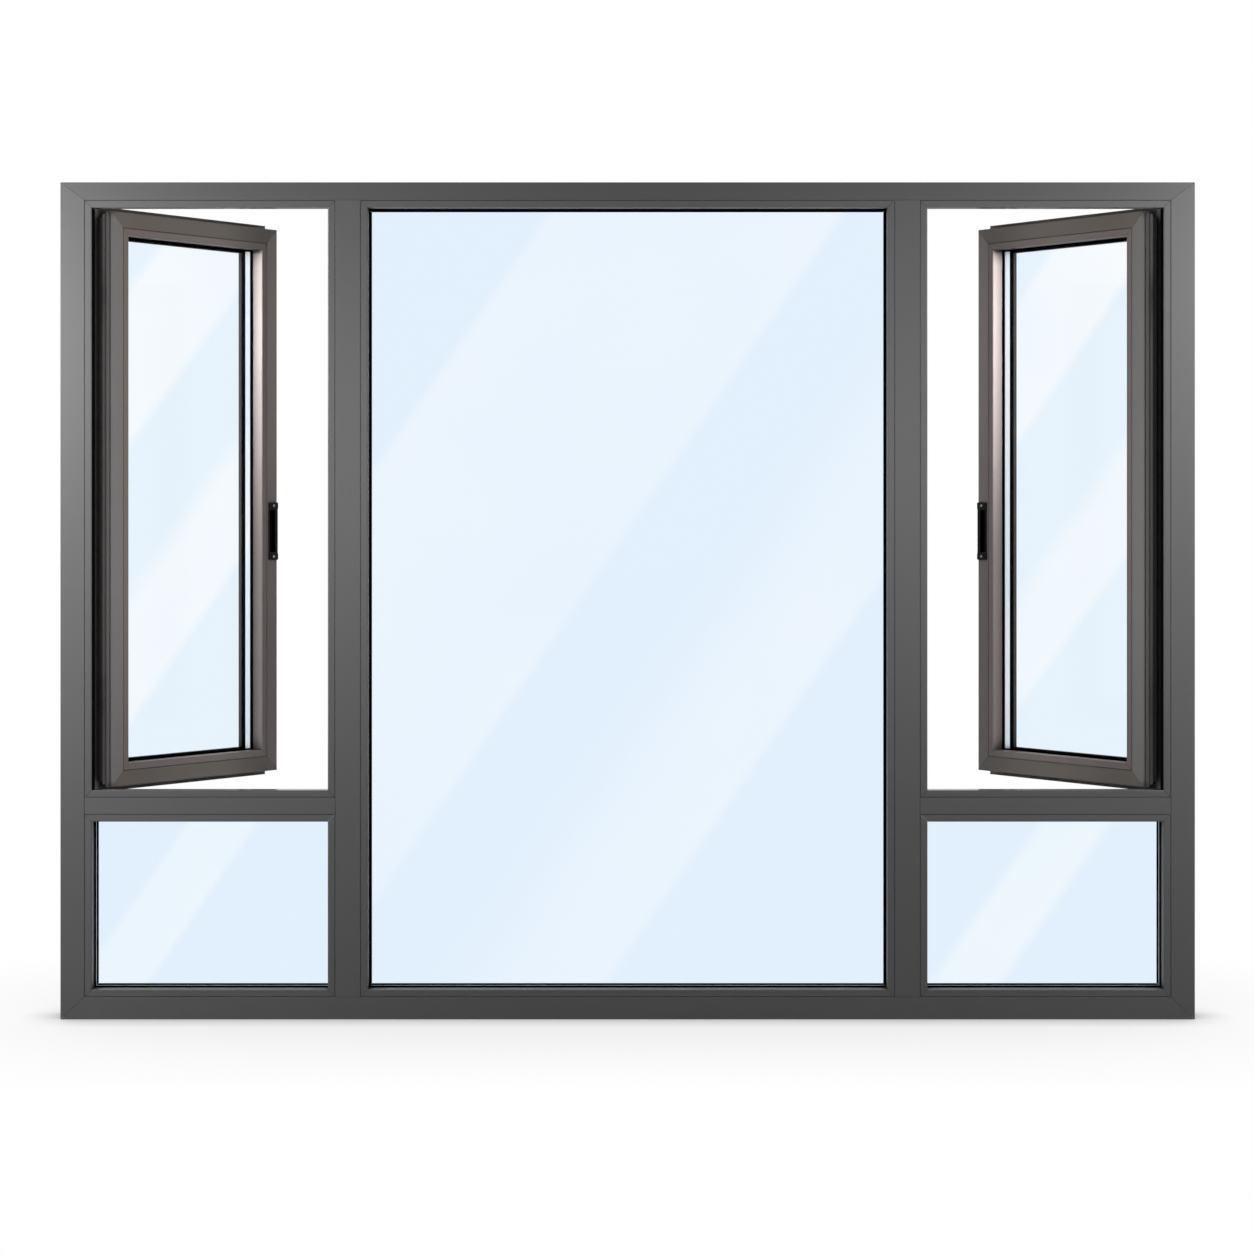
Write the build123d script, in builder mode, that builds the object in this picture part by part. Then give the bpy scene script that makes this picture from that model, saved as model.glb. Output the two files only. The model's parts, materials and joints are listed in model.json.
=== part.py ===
from build123d import *
import os

# Outer frame, in millimetres: X runs along the sill, Y points outdoors, Z is up
window_width = 2270
window_height = 1675
frame_depth = 80
jamb_face = 48
head_face = 36
sill_face = 45

# Bars that divide the frame into five lights
mullion_face = 51
mullion_centre = 560
transom_face = 34
transom_height = 427

# Sections of the frame bars
edge_chamfer = 1.0
outer_step = 7.0
outer_step_depth = 8.0
fixing_groove_width = 12.0
fixing_groove_depth = 4.0
fixing_groove_offset = 16.0
mitre_gap = 0.3

# Drainage slots in the outdoor face of the sill, two below each fixed light
drain_length = 32.0
drain_height = 5.0
drain_depth = 10.0
drain_level = 18.0
drain_end_distance = 110.0

# Glazing beads and the stops behind the casements
bead_face = 14.5
bead_flat = 12.8
bead_depth = 28.0
bead_slope = 1.0
bead_line = 1.2
casement_stop_depth = 24.0
outer_stop_slope = 5.0

# Sealed double glazing and its gaskets
glass_thickness = 5.0
glass_cavity = 14.0
glass_clearance = 5.0
gasket_thickness = 4.0
gasket_width = 8.5
gasket_reveal = 3.0
spacer_cover = 2.0
spacer_width = 8.0
seal_thickness = 2.5
seal_width = 5.5

# Casement sash
sash_face = 32.0
sash_depth = 70.0
sash_room_setback = 35.0
sash_lap = 3.0
sash_edge_chamfer = 2.0
flange_reach = 13.0
flange_thickness = 20.0
lip_reach = 4.0
edge_land = 2.5
edge_groove_width = 3.0
edge_groove_depth = 3.0
edge_rib_width = 13.5
edge_rib_rise = 2.0
edge_shelf_width = 11.0
edge_shelf_depth = 4.0
hardware_groove_depth = 9.0
open_angle = 53.0

# Flush lock on the free stile of each casement
lock_width = 27.0
lock_height = 124.0
lock_level = 974.0
lock_edge_inset = 0.5
lock_plate = 1.8
lock_block_height = 14.0
lock_block_rise = 1.2
lock_recess_width = 17.0
lock_recess_height = 92.0
lock_recess_depth = 9.0
lock_recess_margin = 2.0
lock_wall = 1.2
lock_round = 2.0

# Butt hinges on the outdoor side, two to a casement
hinge_edge_distance = 22.2
hinge_standoff = 7.5
hinge_inset = 170.0
hinge_height = 110.0
hinge_end_knuckle = 34.0
hinge_end_gap = 0.4
knuckle_radius = 5.5
knuckle_clearance = 0.6
pin_radius = 3.0
pin_clearance = 0.15
leaf_thickness = 3.0
frame_leaf_margin = 4.0
sash_leaf_reach = 34.0

# Depths are measured from the middle of the frame towards the room
room_face = frame_depth / 2
outdoor_face = -frame_depth / 2
bead_back = room_face - bead_depth
glass_room_side = bead_back - gasket_thickness
glass_unit = 2 * glass_thickness + glass_cavity
outer_stop_seat = glass_room_side - glass_unit - gasket_thickness
outer_step_level = outdoor_face + outer_step_depth
casement_stop_back = room_face - casement_stop_depth
sash_room_face = room_face - sash_room_setback
sash_outdoor_face = sash_room_face - sash_depth
sash_bead_back = sash_room_face - bead_depth
sash_glass_room_side = sash_bead_back - gasket_thickness
sash_lip_face = sash_glass_room_side - glass_unit - gasket_thickness

# Inner edges of the bars
half_width = window_width / 2
jamb_inside = -half_width + jamb_face
mullion_left = -mullion_centre - mullion_face / 2
mullion_right = -mullion_centre + mullion_face / 2
head_underside = window_height - head_face
transom_bottom = transom_height - transom_face / 2
transom_top = transom_height + transom_face / 2

# Hinge line of the left casement and the turn that leaves it standing open
hinge_x = -half_width + hinge_edge_distance
frame_outdoor_y = frame_depth / 2
hinge_y = frame_outdoor_y + hinge_standoff
swing = Location((hinge_x, hinge_y, 0), (0, 0, open_angle)) * Location((-hinge_x, -hinge_y, 0))
closed = Location()

os.makedirs("parts", exist_ok=True)


def write_node(piece, node):
    """Label a finished piece and write it as a node of its own."""
    piece.part.label = node
    export_step(piece.part, f"parts/{node}.step")


def write_pair(piece, node):
    """Write a left-hand piece and its mirror image on the right."""
    write_node(piece, f"left_{node}")
    with BuildPart() as twin:
        mirror(piece.part, about=Plane.YZ)
    write_node(twin, f"right_{node}")


def opening(left, right, bottom, top):
    """Corners of an upright rectangle, counter-clockwise as seen from the room."""
    return [Vector(left, 0, bottom), Vector(right, 0, bottom), Vector(right, 0, top), Vector(left, 0, top)]


def grown(corners, reach):
    """Corners of a rectangle made larger by the same reach on every side."""
    low, high = corners[0], corners[2]
    return opening(low.X - reach, high.X + reach, low.Z - reach, high.Z + reach)


def mitre_cut(corner, inner, kept_way, gap):
    """Cutting plane along a mitre line, facing the bar that is kept."""
    normal = (inner - corner).cross(Vector(0, 1, 0)).normalized()
    if normal.dot(kept_way) < 0:
        normal = normal * -1
    return Plane(origin=corner + normal * (gap / 2), z_dir=normal)


def side_of(corners, inner_corners, side, reach=0, gap=mitre_gap, placing=closed):
    """Plane across one side of a ring, its length and its two mitre cuts."""
    start, end = corners[side], corners[(side + 1) % 4]
    inner_start, inner_end = inner_corners[side], inner_corners[(side + 1) % 4]
    along = (end - start).normalized()
    inward = along.cross(Vector(0, -1, 0)) * -1
    across = Plane(origin=start - along * reach, x_dir=inward, z_dir=along)
    cuts = [mitre_cut(start, inner_start, along, gap), mitre_cut(end, inner_end, along * -1, gap)]
    length = (end - start).length + 2 * reach
    return Plane(placing * across.location), length, [Plane(placing * cut.location) for cut in cuts]


def mitred_strips(corners, outline, placing=closed):
    """Four strips of one outline around a rectangle, mitred at its corners."""
    inner_corners = grown(corners, -bead_face)
    strips = []
    for side in range(4):
        across, length, cuts = side_of(corners, inner_corners, side, placing=placing)
        with BuildPart() as strip:
            with BuildSketch(across):
                with BuildLine():
                    Polyline(*outline, close=True)
                make_face()
            extrude(amount=length)
            for cut in cuts:
                split(bisect_by=cut, keep=Keep.TOP)
        strips.append(strip.part)
    return strips


def bead_outline(start, face, back):
    """Section of a bead: a shadow line at the bar, a flat, then a slope to the glass."""
    return [
        (start, back),
        (start + bead_face, back),
        (start + bead_face, face - bead_slope),
        (start + bead_flat, face),
        (start + bead_line, face),
        (start, face - bead_line),
    ]


def band_outline(start, end, back, face):
    """Plain rectangular section of a gasket or spacer."""
    return [(start, back), (end, back), (end, face), (start, face)]


def gasket_outlines(start, room_side):
    """Sections of the two gaskets that hold a sealed unit, room side first."""
    reveal = start + bead_face + gasket_reveal
    outdoor_side = room_side - glass_unit
    return [
        band_outline(reveal - gasket_width, reveal, room_side, room_side + gasket_thickness),
        band_outline(reveal - gasket_width, reveal, outdoor_side - gasket_thickness, outdoor_side),
    ]


def glazing_panes(corners, start, room_side, placing=closed):
    """Two panes of a sealed unit, set clear of the bars around them."""
    low, high = grown(corners, -start - glass_clearance)[0::2]
    upright = Plane(origin=(0, 0, 0), x_dir=(1, 0, 0), z_dir=(0, -1, 0))
    with BuildPart() as panes:
        for back in (room_side - glass_thickness, room_side - glass_unit):
            with BuildSketch(Plane(placing * upright.offset(back).location)):
                with Locations(((low.X + high.X) / 2, (low.Z + high.Z) / 2)):
                    Rectangle(high.X - low.X, high.Z - low.Z)
            extrude(amount=glass_thickness)
    return panes


def spacer_outline(start, room_side):
    """Section of the bar that keeps the two panes apart."""
    edge = start + glass_clearance + spacer_cover
    cavity_room_side = room_side - glass_thickness
    return band_outline(edge, edge + spacer_width, cavity_room_side - glass_cavity, cavity_room_side)


def outer_bar(side, face):
    """One mitred bar of the outer frame, with an outdoor step and two fixing grooves."""
    corners = opening(-half_width, half_width, 0, window_height)
    inside = opening(jamb_inside, -jamb_inside, sill_face, head_underside)
    across, length, cuts = side_of(corners, inside, side)
    stepped = face - outer_step * face / head_face
    with BuildPart() as bar:
        with BuildSketch(across):
            with BuildLine():
                Polyline(
                    (0, outdoor_face),
                    (stepped, outdoor_face),
                    (stepped, outer_step_level),
                    (face, outer_step_level),
                    (face, room_face - edge_chamfer),
                    (face - edge_chamfer, room_face),
                    (0, room_face),
                    close=True,
                )
            make_face()
            with Locations((0, -fixing_groove_offset), (0, fixing_groove_offset)):
                Rectangle(2 * fixing_groove_depth, fixing_groove_width, mode=Mode.SUBTRACT)
        extrude(amount=length)
        for cut in cuts:
            split(bisect_by=cut, keep=Keep.TOP)
    return bar


def dividing_bar(across, face, body_span, nose_span):
    """A mullion or transom: a chamfered body and a narrower outdoor nose that reaches the steps."""
    with BuildPart() as bar:
        with BuildSketch(across.offset(body_span[0])):
            with BuildLine():
                Polyline(
                    (-face / 2, outer_step_level),
                    (face / 2, outer_step_level),
                    (face / 2, room_face - edge_chamfer),
                    (face / 2 - edge_chamfer, room_face),
                    (-face / 2 + edge_chamfer, room_face),
                    (-face / 2, room_face - edge_chamfer),
                    close=True,
                )
            make_face()
        extrude(amount=body_span[1] - body_span[0])
        with BuildSketch(across.offset(nose_span[0])):
            with Locations((0, outdoor_face + outer_step_depth / 2)):
                Rectangle(face - 2 * outer_step, outer_step_depth)
        extrude(amount=nose_span[1] - nose_span[0])
    return bar


# Outer frame, with the sill drained to the outdoor side
sill_bar = outer_bar(0, sill_face)
head = outer_bar(2, head_face)
jamb = outer_bar(3, jamb_face)
drain_plane = Plane(origin=(0, frame_outdoor_y, drain_level), x_dir=(-1, 0, 0), z_dir=(0, 1, 0))
light_ends = [jamb_inside, mullion_left, mullion_right, -mullion_right, -mullion_left, -jamb_inside]
with BuildPart() as sill:
    add(sill_bar.part)
    with BuildSketch(drain_plane):
        for left, right in zip(light_ends[0::2], light_ends[1::2]):
            with Locations((-left - drain_end_distance, 0), (-right + drain_end_distance, 0)):
                SlotOverall(drain_length, drain_height)
    extrude(amount=-drain_depth, mode=Mode.SUBTRACT)
write_node(sill, "sill")
write_node(head, "head")
write_pair(jamb, "jamb")

# Mullions and transoms butt against the bars they meet
step_share = outer_step / head_face
mullion = dividing_bar(
    Plane(origin=(-mullion_centre, 0, 0), x_dir=(-1, 0, 0), z_dir=(0, 0, 1)),
    mullion_face,
    (sill_face, head_underside),
    (sill_face * (1 - step_share), head_underside + outer_step),
)
transom = dividing_bar(
    Plane(origin=(0, 0, transom_height), x_dir=(0, 0, 1), z_dir=(1, 0, 0)),
    transom_face,
    (jamb_inside, mullion_left),
    (jamb_inside - jamb_face * step_share, mullion_left + outer_step),
)
write_pair(mullion, "mullion")
write_pair(transom, "transom")


def fixed_light(corners):
    """Beads, gaskets, panes and spacer of one fixed light."""
    room_bead = bead_outline(0, room_face, bead_back)
    outer_stop = [
        (0, outer_step_level),
        (bead_face, outer_step_level + outer_stop_slope),
        (bead_face, outer_stop_seat),
        (0, outer_stop_seat),
    ]
    bead_strips = mitred_strips(corners, room_bead) + mitred_strips(corners, outer_stop)
    gasket_strips = []
    for outline in gasket_outlines(0, glass_room_side):
        gasket_strips += mitred_strips(corners, outline)
    spacer_strips = mitred_strips(corners, spacer_outline(0, glass_room_side))
    with BuildPart() as beads:
        add(bead_strips)
    with BuildPart() as gaskets:
        add(gasket_strips)
    with BuildPart() as spacer:
        add(spacer_strips)
    return {
        "beads": beads,
        "gaskets": gaskets,
        "spacer": spacer,
        "panes": glazing_panes(corners, 0, glass_room_side),
    }


# Fixed lights: one between the mullions and one below each transom
centre_opening = opening(mullion_right, -mullion_right, sill_face, head_underside)
for piece, made in fixed_light(centre_opening).items():
    write_node(made, f"centre_{piece}")
lower_opening = opening(jamb_inside, mullion_left, sill_face, transom_bottom)
for piece, made in fixed_light(lower_opening).items():
    write_pair(made, f"lower_{piece}")

# Stops and seals that the casements close against
casement_opening = opening(jamb_inside, mullion_left, transom_top, head_underside)
stop_strips = mitred_strips(casement_opening, bead_outline(0, room_face, casement_stop_back))
seal_strips = mitred_strips(
    casement_opening,
    band_outline(bead_face - seal_width, bead_face, casement_stop_back - seal_thickness, casement_stop_back),
)
with BuildPart() as casement_stops:
    add(stop_strips)
with BuildPart() as casement_seals:
    add(seal_strips)
write_pair(casement_stops, "casement_stops")
write_pair(casement_seals, "casement_seals")

# Casement sash, drawn closed and turned open about its hinge line
sash_edge = grown(casement_opening, sash_lap - bead_face)


def sash_bar(side):
    """One mitred sash bar with its outdoor flange, glazing lip and grooved edge."""
    inner_corners = grown(sash_edge, -sash_face)
    across, length, cuts = side_of(sash_edge, inner_corners, side, flange_reach, placing=swing)
    flange_back = sash_outdoor_face + flange_thickness
    groove_face = sash_room_face - sash_edge_chamfer - edge_land
    rib_face = groove_face - edge_groove_width
    rib_back = rib_face - edge_rib_width
    shelf_back = rib_back - edge_shelf_width
    lip_edge = sash_face + bead_face + lip_reach
    with BuildPart() as bar:
        with BuildSketch(across):
            with BuildLine():
                rib = ThreePointArc(
                    (edge_rib_rise, rib_back),
                    (0, (rib_back + rib_face) / 2),
                    (edge_rib_rise, rib_face),
                )
                Polyline(
                    rib @ 1,
                    (edge_groove_depth, rib_face),
                    (edge_groove_depth, groove_face),
                    (0, groove_face),
                    (0, sash_room_face - sash_edge_chamfer),
                    (sash_edge_chamfer, sash_room_face),
                    (sash_face - edge_chamfer, sash_room_face),
                    (sash_face, sash_room_face - edge_chamfer),
                    (sash_face, sash_lip_face),
                    (lip_edge, sash_lip_face),
                    (lip_edge, sash_outdoor_face + edge_chamfer),
                    (lip_edge - edge_chamfer, sash_outdoor_face),
                    (-flange_reach + edge_chamfer, sash_outdoor_face),
                    (-flange_reach, sash_outdoor_face + edge_chamfer),
                    (-flange_reach, flange_back),
                    (hardware_groove_depth, flange_back),
                    (hardware_groove_depth, shelf_back),
                    (edge_shelf_depth, shelf_back),
                    (edge_shelf_depth, rib_back),
                    rib @ 0,
                )
            make_face()
        extrude(amount=length)
        for cut in cuts:
            split(bisect_by=cut, keep=Keep.TOP)
    return bar


bottom_rail = sash_bar(0)
lock_stile = sash_bar(1)
top_rail = sash_bar(2)
hinge_stile = sash_bar(3)

# The lock's case sits in a pocket of the free stile, with its plate on the room side
lock_x = sash_edge[1].X - lock_edge_inset - lock_width / 2
upright_face = Plane(origin=(lock_x, -sash_room_face, lock_level), x_dir=(1, 0, 0), z_dir=(0, -1, 0))
lock_face = Plane(swing * upright_face.location)
recess_x = lock_recess_margin + lock_recess_width / 2 - lock_width / 2
case_width = lock_recess_width + 2 * lock_wall
case_height = lock_recess_height + 2 * lock_wall
case_depth = lock_recess_depth + lock_wall

with BuildPart() as pocketed_stile:
    add(lock_stile.part)
    with BuildSketch(lock_face):
        with Locations((recess_x, 0)):
            Rectangle(case_width, case_height)
    extrude(amount=-case_depth, mode=Mode.SUBTRACT)

with BuildPart() as lock_case:
    with BuildSketch(lock_face):
        RectangleRounded(lock_width, lock_height, lock_round)
    extrude(amount=lock_plate)
    with BuildSketch(lock_face.offset(lock_plate)):
        with GridLocations(0, lock_height - lock_block_height, 1, 2):
            RectangleRounded(lock_width, lock_block_height, lock_round)
    extrude(amount=lock_block_rise)
    with BuildSketch(lock_face):
        with Locations((recess_x, 0)):
            Rectangle(case_width, case_height)
    extrude(amount=-case_depth)
    with BuildSketch(lock_face.offset(lock_plate)):
        with Locations((recess_x, 0)):
            RectangleRounded(lock_recess_width, lock_recess_height, lock_round)
    extrude(amount=-(lock_recess_depth + lock_plate), mode=Mode.SUBTRACT)

write_pair(bottom_rail, "casement_bottom_rail")
write_pair(top_rail, "casement_top_rail")
write_pair(hinge_stile, "casement_hinge_stile")
write_pair(pocketed_stile, "casement_lock_stile")
write_pair(lock_case, "casement_lock")

# Glazing of the casement
sash_glazing = grown(sash_edge, -sash_face)
sash_bead_strips = mitred_strips(
    sash_glazing,
    bead_outline(0, sash_room_face, sash_bead_back),
    swing,
)
sash_gasket_strips = []
for outline in gasket_outlines(0, sash_glass_room_side):
    sash_gasket_strips += mitred_strips(sash_glazing, outline, swing)
sash_spacer_strips = mitred_strips(sash_glazing, spacer_outline(0, sash_glass_room_side), swing)
with BuildPart() as sash_beads:
    add(sash_bead_strips)
with BuildPart() as sash_gaskets:
    add(sash_gasket_strips)
with BuildPart() as sash_spacer:
    add(sash_spacer_strips)
sash_panes = glazing_panes(sash_glazing, 0, sash_glass_room_side, swing)
write_pair(sash_beads, "casement_beads")
write_pair(sash_gaskets, "casement_gaskets")
write_pair(sash_spacer, "casement_spacer")
write_pair(sash_panes, "casement_panes")

# Butt hinges: the frame leaf carries the pin, the casement leaf wraps the flange and turns on it
hinge_levels = [sash_edge[0].Z + hinge_inset, sash_edge[2].Z - hinge_inset]
middle_knuckle = hinge_height - 2 * hinge_end_knuckle
frame_leaf_edge = -half_width + frame_leaf_margin
sash_leaf_edge = sash_edge[0].X - flange_reach - leaf_thickness
sash_outdoor_y = -sash_outdoor_face
neck_y = hinge_y - leaf_thickness / 2
low_corner = (Align.MIN, Align.MIN)

with BuildPart() as frame_leaves:
    for level in hinge_levels:
        base = Plane.XY.offset(level - hinge_height / 2)
        upper = base.offset(hinge_height - hinge_end_knuckle)
        clear_edge = hinge_x - knuckle_radius - knuckle_clearance
        with BuildSketch(base):
            with Locations((frame_leaf_edge, frame_outdoor_y)):
                Rectangle(clear_edge - frame_leaf_edge, leaf_thickness, align=low_corner)
        extrude(amount=hinge_height)
        with BuildSketch(base, upper):
            with Locations((frame_leaf_edge, frame_outdoor_y)):
                Rectangle(hinge_x - frame_leaf_edge, leaf_thickness, align=low_corner)
            with Locations((hinge_x - knuckle_radius, frame_outdoor_y)):
                Rectangle(knuckle_radius, hinge_standoff, align=low_corner)
            with Locations((hinge_x, hinge_y)):
                Circle(knuckle_radius)
        extrude(amount=hinge_end_knuckle)
        with BuildSketch(base):
            with Locations((hinge_x, hinge_y)):
                Circle(pin_radius)
        extrude(amount=hinge_height)
write_pair(frame_leaves, "hinge_frame_leaves")

with BuildPart() as sash_leaves:
    for level in hinge_levels:
        base = Plane(swing * Location((0, 0, level - hinge_height / 2)))
        middle = base.offset(hinge_end_knuckle + hinge_end_gap)
        with BuildSketch(base):
            with Locations((sash_leaf_edge, neck_y)):
                Rectangle(leaf_thickness, sash_outdoor_y + leaf_thickness - neck_y, align=low_corner)
            with Locations((sash_leaf_edge, sash_outdoor_y)):
                Rectangle(sash_leaf_reach, leaf_thickness, align=low_corner)
        extrude(amount=hinge_height)
        with BuildSketch(middle):
            with Locations((hinge_x, hinge_y)):
                Circle(knuckle_radius)
            with Locations((hinge_x, neck_y)):
                Rectangle(sash_leaf_edge + leaf_thickness - hinge_x, leaf_thickness, align=low_corner)
            with Locations((hinge_x, hinge_y)):
                Circle(pin_radius + pin_clearance, mode=Mode.SUBTRACT)
        extrude(amount=middle_knuckle - 2 * hinge_end_gap)
write_pair(sash_leaves, "hinge_sash_leaves")
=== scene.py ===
import json
import math

import bmesh
import bpy
from mathutils import Matrix, Vector


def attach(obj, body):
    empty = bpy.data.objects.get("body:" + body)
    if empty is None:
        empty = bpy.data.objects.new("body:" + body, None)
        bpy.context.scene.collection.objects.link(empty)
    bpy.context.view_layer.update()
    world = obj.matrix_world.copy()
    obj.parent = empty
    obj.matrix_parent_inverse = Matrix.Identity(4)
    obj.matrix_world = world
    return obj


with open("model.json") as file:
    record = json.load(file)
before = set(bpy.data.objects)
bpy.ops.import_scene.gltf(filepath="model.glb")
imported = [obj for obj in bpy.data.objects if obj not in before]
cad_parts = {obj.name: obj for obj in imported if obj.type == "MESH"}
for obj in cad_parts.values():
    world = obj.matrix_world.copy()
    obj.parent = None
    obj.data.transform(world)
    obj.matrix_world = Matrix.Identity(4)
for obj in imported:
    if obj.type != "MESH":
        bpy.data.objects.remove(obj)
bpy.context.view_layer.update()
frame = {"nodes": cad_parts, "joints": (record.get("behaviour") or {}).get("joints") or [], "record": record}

node_of = frame["nodes"]
side_of = {"left": -1, "right": 1}

# The hinge line of each casement in metres, and how far the casements stand open at rest
hinge_line = {hand: Vector(joint["pos_m"]) for hand, joint in zip(side_of, frame["joints"])}
open_angle = math.radians(-frame["joints"][0]["range_deg"][0])


# Node helpers

def place(tree, kind, **settings):
    """Add a node, setting its plain properties and the defaults of its named inputs."""
    node = tree.nodes.new(kind)
    inputs = settings.pop("inputs", {})
    for name, value in settings.items():
        setattr(node, name, value)
    for name, value in inputs.items():
        node.inputs[name].default_value = value
    return node


def join(tree, start, end):
    """Link an output socket to an input socket."""
    tree.links.new(start, end)


def feed(tree, socket, value):
    """Link a socket to an input, or set the input to a number or colour."""
    if isinstance(value, (int, float, tuple)):
        socket.default_value = value
    else:
        join(tree, value, socket)


def sums(tree, operation, first, second, clamp=False):
    """A Math node on two sockets or numbers."""
    node = place(tree, "ShaderNodeMath", operation=operation, use_clamp=clamp)
    for socket, value in zip(node.inputs, (first, second)):
        feed(tree, socket, value)
    return node.outputs[0]


def blended(tree, share, first, second):
    """A colour mix of two sockets or colours by a share."""
    node = place(tree, "ShaderNodeMix", data_type="RGBA")
    for socket, value in zip((node.inputs[0], node.inputs[6], node.inputs[7]), (share, first, second)):
        feed(tree, socket, value)
    return node.outputs[2]


def dimmed(tree, colour, share):
    """A colour scaled by a share."""
    node = place(tree, "ShaderNodeVectorMath", operation="SCALE")
    join(tree, colour, node.inputs[0])
    join(tree, share, node.inputs["Scale"])
    return node.outputs[0]


def mix_surface(tree, share, first, second, output):
    """Send a mix of two shaders to the output node."""
    mix = place(tree, "ShaderNodeMixShader")
    for socket, value in zip(mix.inputs, (share, first.outputs[0], second.outputs[0])):
        join(tree, value, socket)
    join(tree, mix.outputs[0], output.inputs["Surface"])


def new_group(name, inputs, outputs):
    """A shader node group, its inputs given as (name, kind, default) and its outputs as (name, kind)."""
    group = bpy.data.node_groups.new(name, "ShaderNodeTree")
    for label, kind, default in inputs:
        socket = group.interface.new_socket(label, in_out="INPUT", socket_type=kind)
        socket.default_value = default
    for label, kind in outputs:
        group.interface.new_socket(label, in_out="OUTPUT", socket_type=kind)
    return group, group.nodes.new("NodeGroupInput"), group.nodes.new("NodeGroupOutput")


def set_group(tree, group, **values):
    """Place a node group in a material with its own values."""
    node = place(tree, "ShaderNodeGroup", node_tree=group)
    for name, value in values.items():
        node.inputs[name.replace("_", " ")].default_value = value
    return node


def new_material(name):
    """A node material, its tree and its Principled shader."""
    material = bpy.data.materials.new(name)
    material.use_nodes = True
    tree = material.node_tree
    shader = next(node for node in tree.nodes if node.type == "BSDF_PRINCIPLED")
    return material, tree, shader


# Shared surface effects

def make_coat_grain():
    """Fine sprayed grain of a powder coat or a moulded surface, with slow cloudy change."""
    group, given, made = new_group(
        "coat_grain",
        [
            ("Colour", "NodeSocketColor", (0.1, 0.1, 0.1, 1)),
            ("Grain scale", "NodeSocketFloat", 1500.0),
            ("Speckle", "NodeSocketFloat", 0.15),
            ("Cloud", "NodeSocketFloat", 0.06),
            ("Roughness", "NodeSocketFloat", 0.45),
            ("Roughness spread", "NodeSocketFloat", 0.1),
        ],
        [("Colour", "NodeSocketColor"), ("Roughness", "NodeSocketFloat"), ("Height", "NodeSocketFloat")],
    )
    spot = place(group, "ShaderNodeTexCoord").outputs["Object"]
    grain = place(group, "ShaderNodeTexNoise", inputs={"Detail": 2.0, "Roughness": 0.6})
    cloud = place(group, "ShaderNodeTexNoise", inputs={"Scale": 3.5, "Detail": 3.0, "Roughness": 0.5})
    join(group, spot, grain.inputs["Vector"])
    join(group, spot, cloud.inputs["Vector"])
    join(group, given.outputs["Grain scale"], grain.inputs["Scale"])
    fine = sums(group, "SUBTRACT", grain.outputs["Fac"], 0.5)
    slow = sums(group, "SUBTRACT", cloud.outputs["Fac"], 0.5)
    change = sums(
        group,
        "ADD",
        sums(group, "MULTIPLY", fine, given.outputs["Speckle"]),
        sums(group, "MULTIPLY", slow, given.outputs["Cloud"]),
    )
    level = sums(group, "ADD", 1.0, sums(group, "MULTIPLY", change, 2.0))
    rough = sums(
        group,
        "ADD",
        given.outputs["Roughness"],
        sums(group, "MULTIPLY", sums(group, "ADD", fine, slow), given.outputs["Roughness spread"]),
        clamp=True,
    )
    join(group, dimmed(group, given.outputs["Colour"], level), made.inputs["Colour"])
    join(group, rough, made.inputs["Roughness"])
    join(group, grain.outputs["Fac"], made.inputs["Height"])
    return group


def make_edge_lines():
    """Shares of a dark line at each bar's very edge and of a lighter strip just inside it, partly wear and
    partly a painted highlight.
    """
    group, given, made = new_group(
        "edge_lines",
        [
            ("Line width", "NodeSocketFloat", 0.0008),
            ("Rub width", "NodeSocketFloat", 0.0024),
            ("Rub amount", "NodeSocketFloat", 0.5),
        ],
        [("Line", "NodeSocketFloat"), ("Rub", "NodeSocketFloat")],
    )
    line_gain, rub_gain = 12.0, 8.0
    flat = place(group, "ShaderNodeNewGeometry").outputs["Normal"]

    def bend(width, gain):
        """How far the surface turns within a width of the place."""
        rounded = place(group, "ShaderNodeBevel", samples=3)
        join(group, width, rounded.inputs["Radius"])
        facing = place(group, "ShaderNodeVectorMath", operation="DOT_PRODUCT")
        join(group, rounded.outputs["Normal"], facing.inputs[0])
        join(group, flat, facing.inputs[1])
        turned = sums(group, "SUBTRACT", 1.0, facing.outputs["Value"])
        return sums(group, "MULTIPLY", turned, gain, clamp=True)

    line = bend(given.outputs["Line width"], line_gain)
    patches = place(group, "ShaderNodeTexNoise", inputs={"Scale": 60.0, "Detail": 4.0})
    join(group, place(group, "ShaderNodeTexCoord").outputs["Object"], patches.inputs["Vector"])
    broken = place(group, "ShaderNodeMapRange", inputs={"From Min": 0.3, "From Max": 0.6, "To Min": 0.5})
    join(group, patches.outputs["Fac"], broken.inputs["Value"])
    # The lighter strip, broken into patches by noise, is partly wear and partly a painted highlight along
    # the edges.
    strip = sums(group, "MULTIPLY", bend(given.outputs["Rub width"], rub_gain), broken.outputs["Result"])
    join(group, line, made.inputs["Line"])
    join(group, sums(group, "MULTIPLY", strip, given.outputs["Rub amount"]), made.inputs["Rub"])
    return group


def make_joint_shade():
    """Painted shade: the share of light left in gaps and corners between the bars, read from ambient
    occlusion, to darken a base colour.
    """
    group, given, made = new_group(
        "painted_joint_shade",
        [("Reach", "NodeSocketFloat", 0.035), ("Depth", "NodeSocketFloat", 2.2)],
        [("Shade", "NodeSocketFloat")],
    )
    open_share = place(group, "ShaderNodeAmbientOcclusion", samples=4)
    join(group, given.outputs["Reach"], open_share.inputs["Distance"])
    eased = place(group, "ShaderNodeMapRange", inputs={"From Min": 0.1, "From Max": 0.85})
    join(group, open_share.outputs["AO"], eased.inputs["Value"])
    shade = sums(group, "POWER", eased.outputs["Result"], given.outputs["Depth"])
    join(group, shade, made.inputs["Shade"])
    return group


coat_grain = make_coat_grain()
edge_lines = make_edge_lines()
painted_joint_shade = make_joint_shade()


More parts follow.
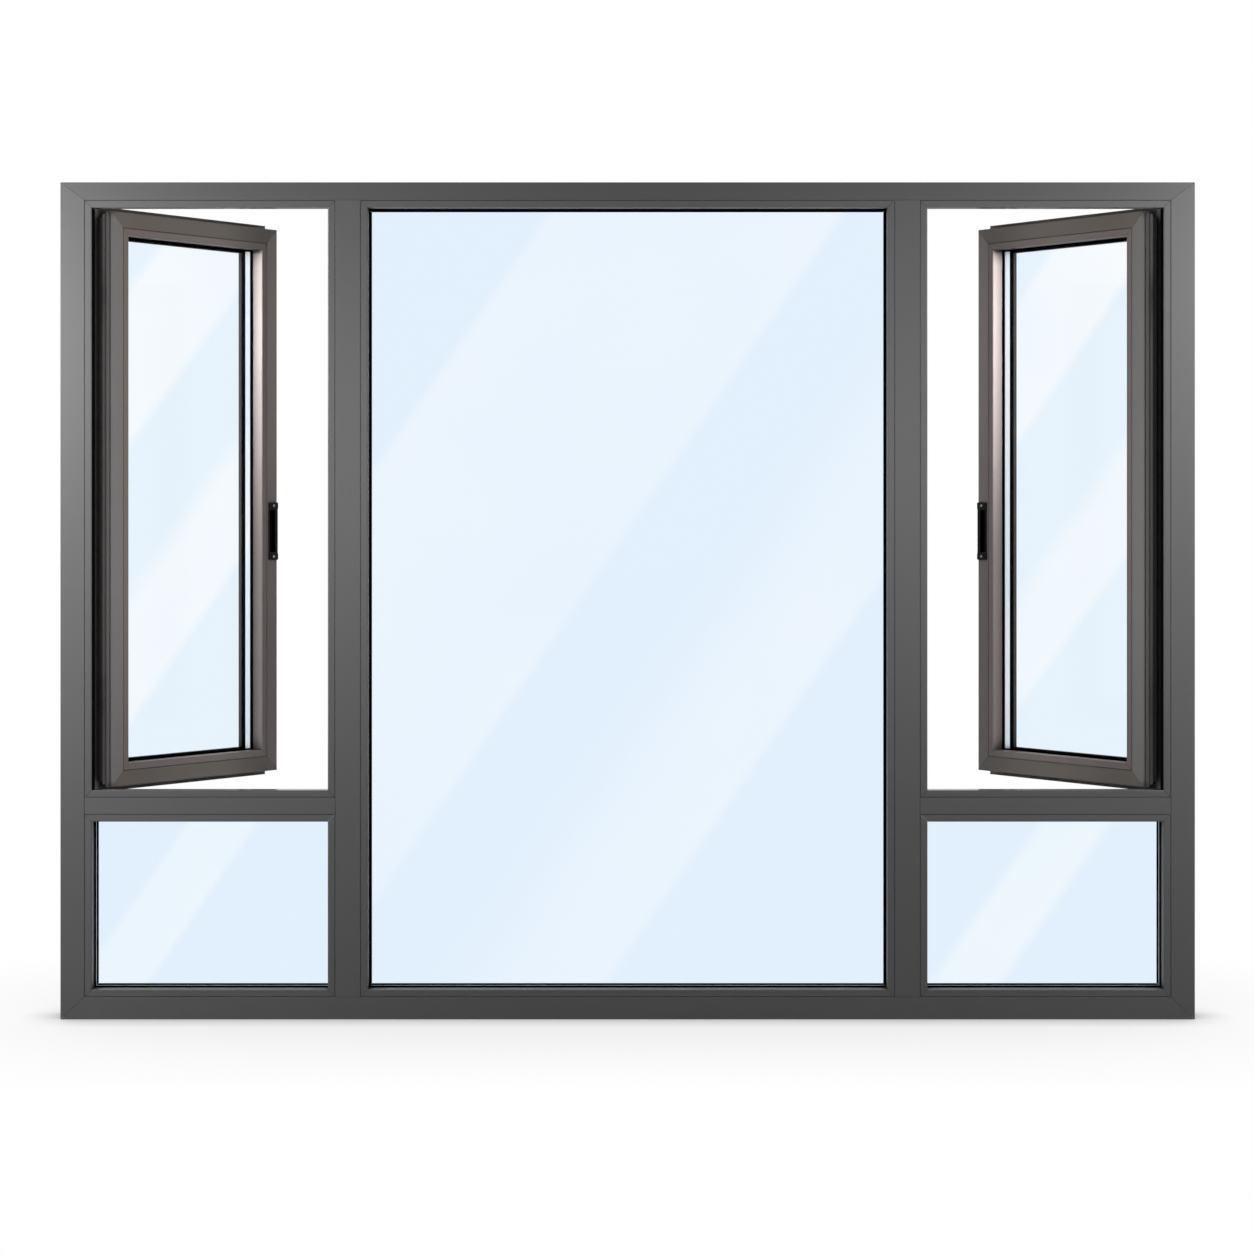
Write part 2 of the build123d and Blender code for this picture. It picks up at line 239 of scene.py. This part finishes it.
def coated(
    name, colour, wear_highlight_colour, metallic=0.0, specular=0.3, bump=0.00003, rub_highlight=0.5, rub_width=0.0024, line=0.0008,
    depth=2.2, **grain,
):
    """A sprayed or moulded finish: grain in colour, roughness and relief, dark edge lines, a lighter edge
    strip of wear and painted highlight, and painted shade in the joints.
    """
    line_darkness = 0.75
    material, tree, shader = new_material(name)
    coat = set_group(tree, coat_grain, Colour=(*colour, 1), **grain)
    edges = set_group(tree, edge_lines, Line_width=line, Rub_width=rub_width, Rub_amount=rub_highlight)
    # The lighter edge strip mixed in here is partly wear and partly a painted highlight.
    rubbed_and_highlighted = blended(tree, edges.outputs["Rub"], coat.outputs["Colour"], (*wear_highlight_colour, 1))
    light = sums(tree, "SUBTRACT", 1.0, sums(tree, "MULTIPLY", edges.outputs["Line"], line_darkness))
    # Ambient occlusion darkens the base colour in gaps and corners: painted shade, as strong as depth sets
    # it.
    if depth:
        joints = set_group(tree, painted_joint_shade, Depth=depth)
        light = sums(tree, "MULTIPLY", light, joints.outputs["Shade"])
    relief = place(tree, "ShaderNodeBump", inputs={"Strength": 0.35, "Distance": bump})
    join(tree, coat.outputs["Height"], relief.inputs["Height"])
    join(tree, dimmed(tree, rubbed_and_highlighted, light), shader.inputs["Base Color"])
    join(tree, coat.outputs["Roughness"], shader.inputs["Roughness"])
    join(tree, relief.outputs["Normal"], shader.inputs["Normal"])
    shader.inputs["Metallic"].default_value = metallic
    shader.inputs["Specular IOR Level"].default_value = specular
    return material


# Finishes of the window

frame_coat = {"Grain_scale": 1400.0, "Speckle": 0.10, "Cloud": 0.05, "Roughness_spread": 0.08}
sash_coat = {
    "Grain_scale": 1400.0, "Speckle": 0.10, "Cloud": 0.06, "Roughness": 0.38, "Roughness_spread": 0.08,
}
frame_paint = coated(
    "frame_paint", (0.110, 0.108, 0.110), (0.17, 0.168, 0.17),
    specular=0.15, rub_highlight=0.3, depth=0.0, Roughness=0.42, **frame_coat,
)
# The head wears a darker copy of the frame paint: painted shade on the head bar.
head_shaded_paint = coated(
    "head_shaded_paint", (0.099, 0.097, 0.099), (0.155, 0.153, 0.155),
    specular=0.15, rub_highlight=0.3, depth=0.0, Roughness=0.42, **frame_coat,
)
stop_paint = coated(
    "stop_paint", (0.111, 0.109, 0.111), (0.17, 0.168, 0.17),
    specular=0.15, rub_highlight=0.25, depth=1.5, **{**frame_coat, "Roughness": 0.15, "Roughness_spread": 0.05},
)
bead_paint = coated(
    "bead_paint", (0.111, 0.109, 0.111), (0.17, 0.168, 0.17),
    specular=0.15, rub_highlight=0.25, depth=1.5, Roughness=0.40, **frame_coat,
)
# The sash coat comes in three copies: the rails darker as painted shade, the hinge stile lighter and more
# neutral as painted light.
sash_paint = coated(
    "sash_paint", (0.131, 0.110, 0.103), (0.21, 0.185, 0.175), specular=0.13, **sash_coat,
)
rail_shaded_paint = coated(
    "rail_shaded_paint", (0.107, 0.094, 0.084), (0.175, 0.157, 0.147), specular=0.13, **sash_coat,
)
# Its strong joint shade paints the deep hinge gap dark: painted shade.
hinge_stile_lit_and_shaded_paint = coated(
    "hinge_stile_lit_and_shaded_paint", (0.139, 0.132, 0.130), (0.22, 0.21, 0.208), specular=0.15, depth=7.0, **sash_coat,
)
gasket_rubber = coated(
    "gasket_rubber", (0.004, 0.004, 0.0045), (0.01, 0.01, 0.01), specular=0.0, bump=0.00006, rub_highlight=0.2,
    Grain_scale=700.0, Speckle=0.2, Cloud=0.1, Roughness=0.62, Roughness_spread=0.15,
)
spacer_metal = coated(
    "spacer_metal", (0.75, 0.75, 0.75), (0.8, 0.8, 0.8),
    metallic=0.8, specular=0.5, rub_highlight=0.1, line=0.0001, depth=0.0,
    Grain_scale=900.0, Speckle=0.06, Cloud=0.05, Roughness=0.36, Roughness_spread=0.1,
)
lock_black = coated(
    "lock_black", (0.004, 0.004, 0.004), (0.03, 0.03, 0.03),
    specular=0.1, bump=0.00005, rub_highlight=0.4, line=0.0003,
    Grain_scale=900.0, Speckle=0.25, Cloud=0.1, Roughness=0.40, Roughness_spread=0.12,
)
hinge_coat = coated(
    "hinge_coat", (0.060, 0.059, 0.060), (0.16, 0.16, 0.16), specular=0.4, bump=0.00004, rub_highlight=0.6,
    Grain_scale=1100.0, Speckle=0.15, Cloud=0.08, Roughness=0.40, Roughness_spread=0.12,
)
screw_steel = coated(
    "screw_steel", (0.42, 0.41, 0.40), (0.6, 0.6, 0.6),
    metallic=1.0, specular=0.5, bump=0.00002, rub_highlight=0.4, rub_width=0.0003, line=0.0001,
    Grain_scale=2200.0, Speckle=0.12, Cloud=0.1, Roughness=0.32, Roughness_spread=0.15,
)


# Glass

def make_pane_sheen():
    """Tint of a pane: a clear blue cast with two slanted paler bands of painted reflection and a slow cloudy
    change.
    """
    group, given, made = new_group(
        "pane_painted_sheen",
        [
            ("Clear tint", "NodeSocketColor", (0.874, 0.934, 0.991, 1)),
            ("Band tint", "NodeSocketColor", (0.918, 0.957, 0.996, 1)),
            ("Slant", "NodeSocketFloat", 1.47),
            ("Upper from", "NodeSocketFloat", 0.98),
            ("Upper to", "NodeSocketFloat", 1.85),
            ("Lower from", "NodeSocketFloat", 0.13),
            ("Lower to", "NodeSocketFloat", 0.5),
            ("Soft", "NodeSocketFloat", 0.03),
            ("Lower soft", "NodeSocketFloat", 0.2),
        ],
        [("Tint", "NodeSocketColor")],
    )
    spot = place(group, "ShaderNodeTexCoord").outputs["Object"]
    parts = place(group, "ShaderNodeSeparateXYZ")
    join(group, spot, parts.inputs[0])
    drop = sums(group, "MULTIPLY", parts.outputs["X"], given.outputs["Slant"])
    along = sums(group, "SUBTRACT", parts.outputs["Z"], drop)

    def ramp_up(edge, soft):
        """Share that rises past an edge over a soft width."""
        step = place(group, "ShaderNodeMapRange", interpolation_type="SMOOTHSTEP")
        join(group, along, step.inputs["Value"])
        join(group, sums(group, "SUBTRACT", edge, soft), step.inputs["From Min"])
        join(group, sums(group, "ADD", edge, soft), step.inputs["From Max"])
        return step.outputs["Result"]

    def band(label, far_soft):
        """Share inside one of the two bands."""
        rise = ramp_up(given.outputs[f"{label} from"], given.outputs["Soft"])
        fall = ramp_up(given.outputs[f"{label} to"], given.outputs[far_soft])
        return sums(group, "SUBTRACT", rise, fall, clamp=True)

    # The two slanted bands are painted reflection, fixed on the pane in object space.
    bands = sums(group, "MAXIMUM", band("Upper", "Soft"), band("Lower", "Lower soft"))
    cloud = place(group, "ShaderNodeTexNoise", inputs={"Scale": 1.6, "Detail": 2.0, "Roughness": 0.5})
    join(group, spot, cloud.inputs["Vector"])
    thin = place(
        group, "ShaderNodeMapRange",
        inputs={"From Min": 0.3, "From Max": 0.7, "To Min": 0.55, "To Max": 1.0},
    )
    join(group, cloud.outputs["Fac"], thin.inputs["Value"])
    share = sums(group, "MULTIPLY", bands, thin.outputs["Result"], clamp=True)
    tint = blended(group, share, given.outputs["Clear tint"], given.outputs["Band tint"])
    join(group, tint, made.inputs["Tint"])
    return group


pane_painted_sheen = make_pane_sheen()


def glazed(name, **bands):
    """Clear float glass whose shadow is faint, tinted with its bands of painted reflection."""
    material, tree, shader = new_material(name)
    tint = set_group(tree, pane_painted_sheen, **bands)
    join(tree, tint.outputs["Tint"], shader.inputs["Base Color"])
    shader.inputs["Roughness"].default_value = 0.0
    shader.inputs["IOR"].default_value = 1.1
    shader.inputs["Transmission Weight"].default_value = 1.0
    shadow = place(tree, "ShaderNodeBsdfTransparent", inputs={"Color": (0.94, 0.95, 0.96, 1)})
    in_shadow = place(tree, "ShaderNodeLightPath").outputs["Is Shadow Ray"]
    output = next(node for node in tree.nodes if node.type == "OUTPUT_MATERIAL")
    mix_surface(tree, in_shadow, shader, shadow, output)
    return material


lower_light = {"Band_tint": (0.928, 0.966, 0.992, 1)}
# The open casement panes are the same glass as the fixed ones; their paler clear tint and brighter bands are
# painted reflection.
casement_light = {
    "Clear_tint": (0.896, 0.949, 0.9905, 1), "Band_tint": (0.968, 0.983, 0.996, 1),
    "Slant": 1.75, "Soft": 0.02, "Lower_soft": 0.05,
}
pane_glass = {
    "centre": glazed("centre_glass"),
    "left_lower": glazed(
        "left_lower_glass",
        Upper_from=1.487, Upper_to=1.692, Lower_from=-3.0, Lower_to=-2.8, Soft=0.02, **lower_light,
    ),
    "right_lower": glazed(
        "right_lower_glass",
        Upper_from=-1.04, Upper_to=-0.835, Lower_from=-5.0, Lower_to=-4.8, Soft=0.03, **lower_light,
    ),
    "left_casement": glazed(
        "left_casement_glass",
        Upper_from=2.96, Upper_to=3.28, Lower_from=2.38, Lower_to=2.64, **casement_light,
    ),
    "right_casement": glazed(
        "right_casement_glass",
        Upper_from=-0.31, Upper_to=-0.01, Lower_from=-0.88, Lower_to=-0.65, **casement_light,
    ),
}


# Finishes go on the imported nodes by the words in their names

finish_by_ending = {
    "gaskets": gasket_rubber,
    "seals": gasket_rubber,
    "spacer": spacer_metal,
    "lock": lock_black,
    "leaves": hinge_coat,
    "stops": stop_paint,
    "head": head_shaded_paint,
    "hinge_stile": hinge_stile_lit_and_shaded_paint,
    "rail": rail_shaded_paint,
}


def finish_of(node):
    """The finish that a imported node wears."""
    if node.endswith("_panes"):
        return pane_glass[node.removesuffix("_panes")]
    for ending, finish in finish_by_ending.items():
        if node.endswith(ending):
            return finish
    if "casement" in node:
        return sash_paint
    return bead_paint if node.endswith("beads") else frame_paint


for name, piece in node_of.items():
    piece.data.materials.clear()
    piece.data.materials.append(finish_of(name))


# Screws, with their places in metres on the closed window

screw_head_radius = 0.0042
lock_screw_share = 0.7
hinge_levels = (0.6255, 1.4575)
hinge_screw_steps = (-0.042, 0.0, 0.042)
lock_screw_levels = (0.919, 1.029)
frame_leaf_spot = (1.125, 0.043)
sash_leaf_spot = (1.072, 0.068)
lock_spot = (0.611, -0.008)


def make_screw_head():
    """One pan-head screw of unit head radius with a cross recess, standing on its seat along +Z."""
    sides = 24
    profile = [(1.0, 0.0), (1.0, 0.18), (0.9, 0.42), (0.66, 0.56)]
    arm, half_slot = 0.5, 0.13
    crown, recess_floor, recess_taper = 0.58, 0.2, 0.8
    mesh = bmesh.new()
    rings = []
    for radius, height in profile:
        ring = []
        for step in range(sides):
            turn = 2 * math.pi * step / sides
            ring.append(mesh.verts.new((radius * math.cos(turn), radius * math.sin(turn), height)))
        rings.append(ring)
    for low, high in zip(rings, rings[1:]):
        for step in range(sides):
            after = (step + 1) % sides
            mesh.faces.new((low[step], low[after], high[after], high[step]))
    mesh.faces.new(list(reversed(rings[0])))
    cross = []
    for quarter in range(4):
        cosine, sine = math.cos(math.pi / 2 * quarter), math.sin(math.pi / 2 * quarter)
        for x, y in ((arm, -half_slot), (arm, half_slot), (half_slot, half_slot)):
            cross.append((x * cosine - y * sine, x * sine + y * cosine))
    top = [mesh.verts.new((x, y, crown)) for x, y in cross]
    floor = [mesh.verts.new((x * recess_taper, y * recess_taper, recess_floor)) for x, y in cross]
    count = len(cross)
    rim = [mesh.edges.get((rings[-1][step], rings[-1][(step + 1) % sides])) for step in range(sides)]
    slot = [mesh.edges.new((top[step], top[(step + 1) % count])) for step in range(count)]
    bmesh.ops.triangle_fill(mesh, edges=rim + slot, use_beauty=True, normal=(0, 0, 1))
    for step in range(count):
        after = (step + 1) % count
        mesh.faces.new((top[after], top[step], floor[step], floor[after]))
    mesh.faces.new(floor)
    bmesh.ops.recalc_face_normals(mesh, faces=mesh.faces)
    data = bpy.data.meshes.new("screw_head")
    mesh.to_mesh(data)
    mesh.free()
    return bpy.data.objects.new("screw_head", data)


def make_screw_tree(head):
    """Set a screw head at each point, facing the way stored there, each turned by chance."""
    tree = bpy.data.node_groups.new("screw_setting", "GeometryNodeTree")
    tree.interface.new_socket("Places", in_out="INPUT", socket_type="NodeSocketGeometry")
    size = tree.interface.new_socket("Head radius", in_out="INPUT", socket_type="NodeSocketFloat")
    seed = tree.interface.new_socket("Turn seed", in_out="INPUT", socket_type="NodeSocketInt")
    metal = tree.interface.new_socket("Metal", in_out="INPUT", socket_type="NodeSocketMaterial")
    tree.interface.new_socket("Screws", in_out="OUTPUT", socket_type="NodeSocketGeometry")
    given, made = tree.nodes.new("NodeGroupInput"), tree.nodes.new("NodeGroupOutput")
    shape = place(tree, "GeometryNodeObjectInfo", inputs={"Object": head})
    facing = place(
        tree, "GeometryNodeInputNamedAttribute", data_type="FLOAT_VECTOR", inputs={"Name": "facing"},
    )
    width = place(tree, "GeometryNodeInputNamedAttribute", data_type="FLOAT", inputs={"Name": "head_share"})
    upright = place(tree, "FunctionNodeAlignRotationToVector", axis="Z")
    join(tree, facing.outputs["Attribute"], upright.inputs["Vector"])
    chance = place(tree, "FunctionNodeRandomValue", data_type="FLOAT")
    chance.inputs[2].default_value = 0.0
    chance.inputs[3].default_value = 2 * math.pi
    join(tree, given.outputs["Turn seed"], chance.inputs["Seed"])
    turn = place(tree, "FunctionNodeAxisAngleToRotation", inputs={"Axis": (0, 0, 1)})
    join(tree, chance.outputs[1], turn.inputs["Angle"])
    turned = place(tree, "FunctionNodeRotateRotation", rotation_space="LOCAL")
    join(tree, upright.outputs["Rotation"], turned.inputs["Rotation"])
    join(tree, turn.outputs["Rotation"], turned.inputs["Rotate By"])
    radius = sums(tree, "MULTIPLY", width.outputs["Attribute"], given.outputs["Head radius"])
    setting = place(tree, "GeometryNodeInstanceOnPoints")
    join(tree, given.outputs["Places"], setting.inputs["Points"])
    join(tree, shape.outputs["Geometry"], setting.inputs["Instance"])
    join(tree, turned.outputs["Rotation"], setting.inputs["Rotation"])
    join(tree, radius, setting.inputs["Scale"])
    real = place(tree, "GeometryNodeRealizeInstances")
    join(tree, setting.outputs["Instances"], real.inputs["Geometry"])
    faced = place(tree, "GeometryNodeSetMaterial")
    join(tree, real.outputs["Geometry"], faced.inputs["Geometry"])
    join(tree, given.outputs["Metal"], faced.inputs["Material"])
    join(tree, faced.outputs["Geometry"], made.inputs["Screws"])
    return tree, size.identifier, seed.identifier, metal.identifier


screw_tree, screw_size, screw_seed, screw_metal = make_screw_tree(make_screw_head())


def set_screws(name, body, places, seed):
    """Screws of one body as a single plain mesh, from (point, facing, share of the head radius)."""
    points = bpy.data.meshes.new(name + "_places")
    points.from_pydata([spot for spot, facing, share in places], [], [])
    points.attributes.new("facing", "FLOAT_VECTOR", "POINT")
    points.attributes.new("head_share", "FLOAT", "POINT")
    for index, (spot, facing, share) in enumerate(places):
        points.attributes["facing"].data[index].vector = facing
        points.attributes["head_share"].data[index].value = share
    piece = bpy.data.objects.new(name, points)
    bpy.context.scene.collection.objects.link(piece)
    setting = piece.modifiers.new("setting", "NODES")
    setting.node_group = screw_tree
    setting[screw_size] = screw_head_radius
    setting[screw_seed] = seed
    setting[screw_metal] = screw_steel
    bpy.context.view_layer.update()
    screws = bpy.data.meshes.new_from_object(piece.evaluated_get(bpy.context.evaluated_depsgraph_get()))
    piece.modifiers.remove(setting)
    piece.data = screws
    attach(piece, body)


def screw_places(hand):
    """Where the screws of one side stand: on its frame leaves, and on its sash leaves and lock."""
    side, line = side_of[hand], hinge_line[hand]
    outward, roomward = Vector((0, 1, 0)), Vector((0, -1, 0))
    swing = Matrix.Rotation(-side * open_angle, 4, "Z")
    opened = Matrix.Translation(line) @ swing @ Matrix.Translation(-line)
    turn = swing.to_3x3()

    def spots(spot, rows):
        """Points of one upright row, on the closed window."""
        return [Vector((side * spot[0], spot[1], row)) for row in rows]

    hinge_rows = [level + step for level in hinge_levels for step in hinge_screw_steps]
    on_frame = [(spot, outward, 1.0) for spot in spots(frame_leaf_spot, hinge_rows)]
    on_sash = [(opened @ spot, turn @ outward, 1.0) for spot in spots(sash_leaf_spot, hinge_rows)]
    for spot in spots(lock_spot, lock_screw_levels):
        on_sash.append((opened @ spot, turn @ roomward, lock_screw_share))
    return on_frame, on_sash


frame_places = []
for sash_seed, hand in enumerate(side_of, start=5):
    on_frame, on_sash = screw_places(hand)
    frame_places += on_frame
    set_screws(f"{hand}_casement_screws", f"{hand}_casement", on_sash, sash_seed)
set_screws("frame_hinge_screws", "frame", frame_places, seed=3)


# Rebate seals: seal parts that also paint the hinge gap's shade dark

def make_rebate_seal(hand, side):
    """The soft ribbed black seal on the jamb side of the opening that the casement swings away from: a seal
    part, set where it also stands for the painted shade of the deep hinge gap.
    """
    jamb_side, front, back = 1.0725, -0.0375, -0.0120
    foot, top = 0.4590, 1.6235
    ribs, rib_points = 5, 5
    web, rib_rise = 0.0007, 0.0007
    rib_start, rib_step = 0.06, 0.22
    pitch = (back - front) / ribs
    outline = [(jamb_side, front)]
    for rib in range(ribs):
        for step in range(rib_points):
            rise = rib_rise * math.sin(math.pi * step / (rib_points - 1))
            outline.append((jamb_side - web - rise, front + pitch * (rib + rib_start + rib_step * step)))
    outline.append((jamb_side, back))
    mesh = bmesh.new()
    low = [mesh.verts.new((side * x, y, foot)) for x, y in outline]
    high = [mesh.verts.new((side * x, y, top)) for x, y in outline]
    for step in range(len(outline)):
        after = (step + 1) % len(outline)
        mesh.faces.new((low[step], low[after], high[after], high[step]))
    mesh.faces.new(low)
    mesh.faces.new(high)
    bmesh.ops.recalc_face_normals(mesh, faces=mesh.faces)
    data = bpy.data.meshes.new(f"{hand}_rebate_seal")
    mesh.to_mesh(data)
    mesh.free()
    data.materials.append(gasket_rubber)
    piece = bpy.data.objects.new(f"{hand}_rebate_seal", data)
    bpy.context.scene.collection.objects.link(piece)
    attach(piece, "frame")


for hand, side in side_of.items():
    make_rebate_seal(hand, side)


# Stage, light and camera

def shown_share(tree, rays):
    """Share of rays that reach the camera, directly or by metal or glass."""
    mirrored = sums(tree, "MAXIMUM", rays.outputs["Is Glossy Ray"], rays.outputs["Is Transmission Ray"])
    return sums(tree, "MAXIMUM", rays.outputs["Is Camera Ray"], mirrored)


def make_floor():
    """A pale floor that stays white to the camera, with a painted soft shadow where the sill stands, from
    ambient occlusion.
    """
    reach = 40.0
    contact_reach, contact_depth = 0.09, 0.62
    wide_reach, wide_depth = 0.75, 0.36
    paint_dulling = 0.65
    corners = [(-reach, -reach, 0), (reach, -reach, 0), (reach, reach, 0), (-reach, reach, 0)]
    data = bpy.data.meshes.new("floor")
    data.from_pydata(corners, [], [(0, 1, 2, 3)])
    floor = bpy.data.objects.new("floor", data)
    bpy.context.scene.collection.objects.link(floor)
    material = bpy.data.materials.new("studio_floor")
    material.use_nodes = True
    tree = material.node_tree
    tree.nodes.clear()
    rays = place(tree, "ShaderNodeLightPath")
    shown = shown_share(tree, rays)

    def closed_in(distance, depth):
        """Painted shadow from what stands within a distance, by ambient occlusion."""
        near = place(tree, "ShaderNodeAmbientOcclusion", samples=6, inputs={"Distance": distance})
        return sums(tree, "MULTIPLY", sums(tree, "SUBTRACT", 1.0, near.outputs["AO"]), depth)

    # The floor's shadow is painted into its glow from ambient occlusion, not cast by the lamps.
    shade = sums(tree, "ADD", closed_in(contact_reach, contact_depth), closed_in(wide_reach, wide_depth))
    in_paint = sums(
        tree, "SUBTRACT", rays.outputs["Is Glossy Ray"], rays.outputs["Is Transmission Ray"], clamp=True,
    )
    dulled = sums(
        tree,
        "ADD",
        sums(tree, "MULTIPLY", shade, rays.outputs["Is Camera Ray"]),
        sums(tree, "MULTIPLY", in_paint, paint_dulling),
    )
    glow = place(tree, "ShaderNodeEmission")
    join(tree, sums(tree, "SUBTRACT", 1.0, dulled, clamp=True), glow.inputs["Strength"])
    matt = place(tree, "ShaderNodeBsdfDiffuse", inputs={"Color": (0.5, 0.5, 0.5, 1)})
    mix_surface(tree, shown, matt, glow, place(tree, "ShaderNodeOutputMaterial"))
    data.materials.append(material)


def make_surround():
    """White to the camera, to metal and through glass, and a low even light on everything."""
    world = bpy.data.worlds.new("studio_white")
    bpy.context.scene.world = world
    world.use_nodes = True
    tree = world.node_tree
    tree.nodes.clear()
    shown = shown_share(tree, place(tree, "ShaderNodeLightPath"))
    even = place(tree, "ShaderNodeBackground", inputs={"Color": (1, 1, 1, 1), "Strength": 0.05})
    white = place(tree, "ShaderNodeBackground", inputs={"Color": (1, 1, 1, 1), "Strength": 1.0})
    mix_surface(tree, shown, even, white, place(tree, "ShaderNodeOutputWorld"))


def soft_lamp(name, spot, aim, size, watts, mirrored=True, only=(), spread=180.0):
    """A soft rectangular studio lamp, kept out of mirrors and glass or turned on some nodes only."""
    lamp = bpy.data.lights.new(name, "AREA")
    lamp.shape = "RECTANGLE"
    lamp.size, lamp.size_y = size
    lamp.energy = watts
    lamp.spread = math.radians(spread)
    piece = bpy.data.objects.new(name, lamp)
    bpy.context.scene.collection.objects.link(piece)
    piece.location = spot
    piece.rotation_euler = (Vector(aim) - Vector(spot)).to_track_quat("-Z", "Z").to_euler()
    piece.visible_glossy = mirrored
    piece.visible_transmission = mirrored
    if only:
        lit = bpy.data.collections.new(name + "_lights")
        for node in only:
            lit.objects.link(node_of[node])
        piece.light_linking.receiver_collection = lit


def light_frame():
    """Lamps by the jambs, before the mullions and outdoors."""
    soft_lamp("left_lamp", spot=(-1.6, -0.54, 1.48), aim=(-0.9, 0.0, 1.35), size=(0.5, 0.8), watts=14.8)
    soft_lamp("right_lamp", spot=(1.6, -0.5, 1.6), aim=(0.9, 0.0, 1.38), size=(0.5, 0.9), watts=12.0)
    for hand, watts in (("left", 9.8), ("right", 6.6)):
        side = side_of[hand]
        soft_lamp(
            f"{hand}_low_lamp", spot=(side * 1.9, -0.7, 0.72), aim=(side * 0.9, 0.0, 0.72),
            size=(0.6, 0.9), watts=watts,
        )
    for hand, side in side_of.items():
        soft_lamp(
            f"{hand}_mullion_lamp", spot=(side * 0.56, -0.75, 1.15), aim=(side * 0.56, 0.0, 1.15),
            size=(0.2, 0.5), watts=3.1, mirrored=False,
        )
    soft_lamp(
        "outdoor_lamp", spot=(0.0, 2.8, 1.7), aim=(0.0, 0.0, 0.9),
        size=(2.4, 1.4), watts=70.0, mirrored=False,
    )


def light_casement(hand, side, face_watts):
    """Lamps for one open casement: its face, its hinge side, its glazing reveal and its lock stile."""
    casement = f"{hand}_casement"
    hinge_stile = f"{casement}_hinge_stile"
    face = [node for node in frame["record"]["behaviour"]["bodies"][casement] if node != hinge_stile]
    hinge_share = 1.35
    soft_lamp(
        f"{hand}_sash_lamp", spot=(-side * 0.25, -1.5, 1.3), aim=(side * 0.95, 0.1, 1.2),
        size=(0.3, 0.8), watts=face_watts, mirrored=False, only=face,
    )
    soft_lamp(
        f"{hand}_hinge_lamp", spot=(side * 0.5, -2.0, 1.3), aim=(side * 1.04, 0.08, 1.2),
        size=(0.2, 0.8), watts=hinge_share * face_watts, mirrored=False, only=[hinge_stile],
    )
    for part, watts, spread in (("lamp", 5.7, 27.0), ("fill", 23.0, 100.0)):
        soft_lamp(
            f"{hand}_reveal_{part}", spot=(side * 2.3, -0.67, 1.58), aim=(side * 0.8, 0.36, 1.43),
            size=(0.2, 0.2), watts=watts, mirrored=False, only=[f"{casement}_beads"], spread=spread,
        )
    soft_lamp(
        f"{hand}_lock_lamp", spot=(side * 0.45, -0.9, 1.45), aim=(side * 0.77, 0.43, 1.38),
        size=(0.2, 0.2), watts=0.3, mirrored=False, only=[f"{casement}_lock_stile"], spread=40.0,
    )


def make_room_view():
    """The camera, straight before the window from the room."""
    lens = bpy.data.cameras.new("room_view")
    lens.sensor_width = 36.0
    lens.lens = 78.95
    lens.shift_y = -0.0908
    viewer = bpy.data.objects.new("room_view", lens)
    bpy.context.scene.collection.objects.link(viewer)
    viewer.location = (-0.0013, -5.543, 1.013)
    viewer.rotation_euler = (math.radians(90), 0, 0)
    bpy.context.scene.camera = viewer


make_floor()
make_surround()
light_frame()
for hand, face_watts in (("left", 29.0), ("right", 23.0)):
    light_casement(hand, side_of[hand], face_watts)
make_room_view()
bpy.context.scene.view_settings.view_transform = "Standard"
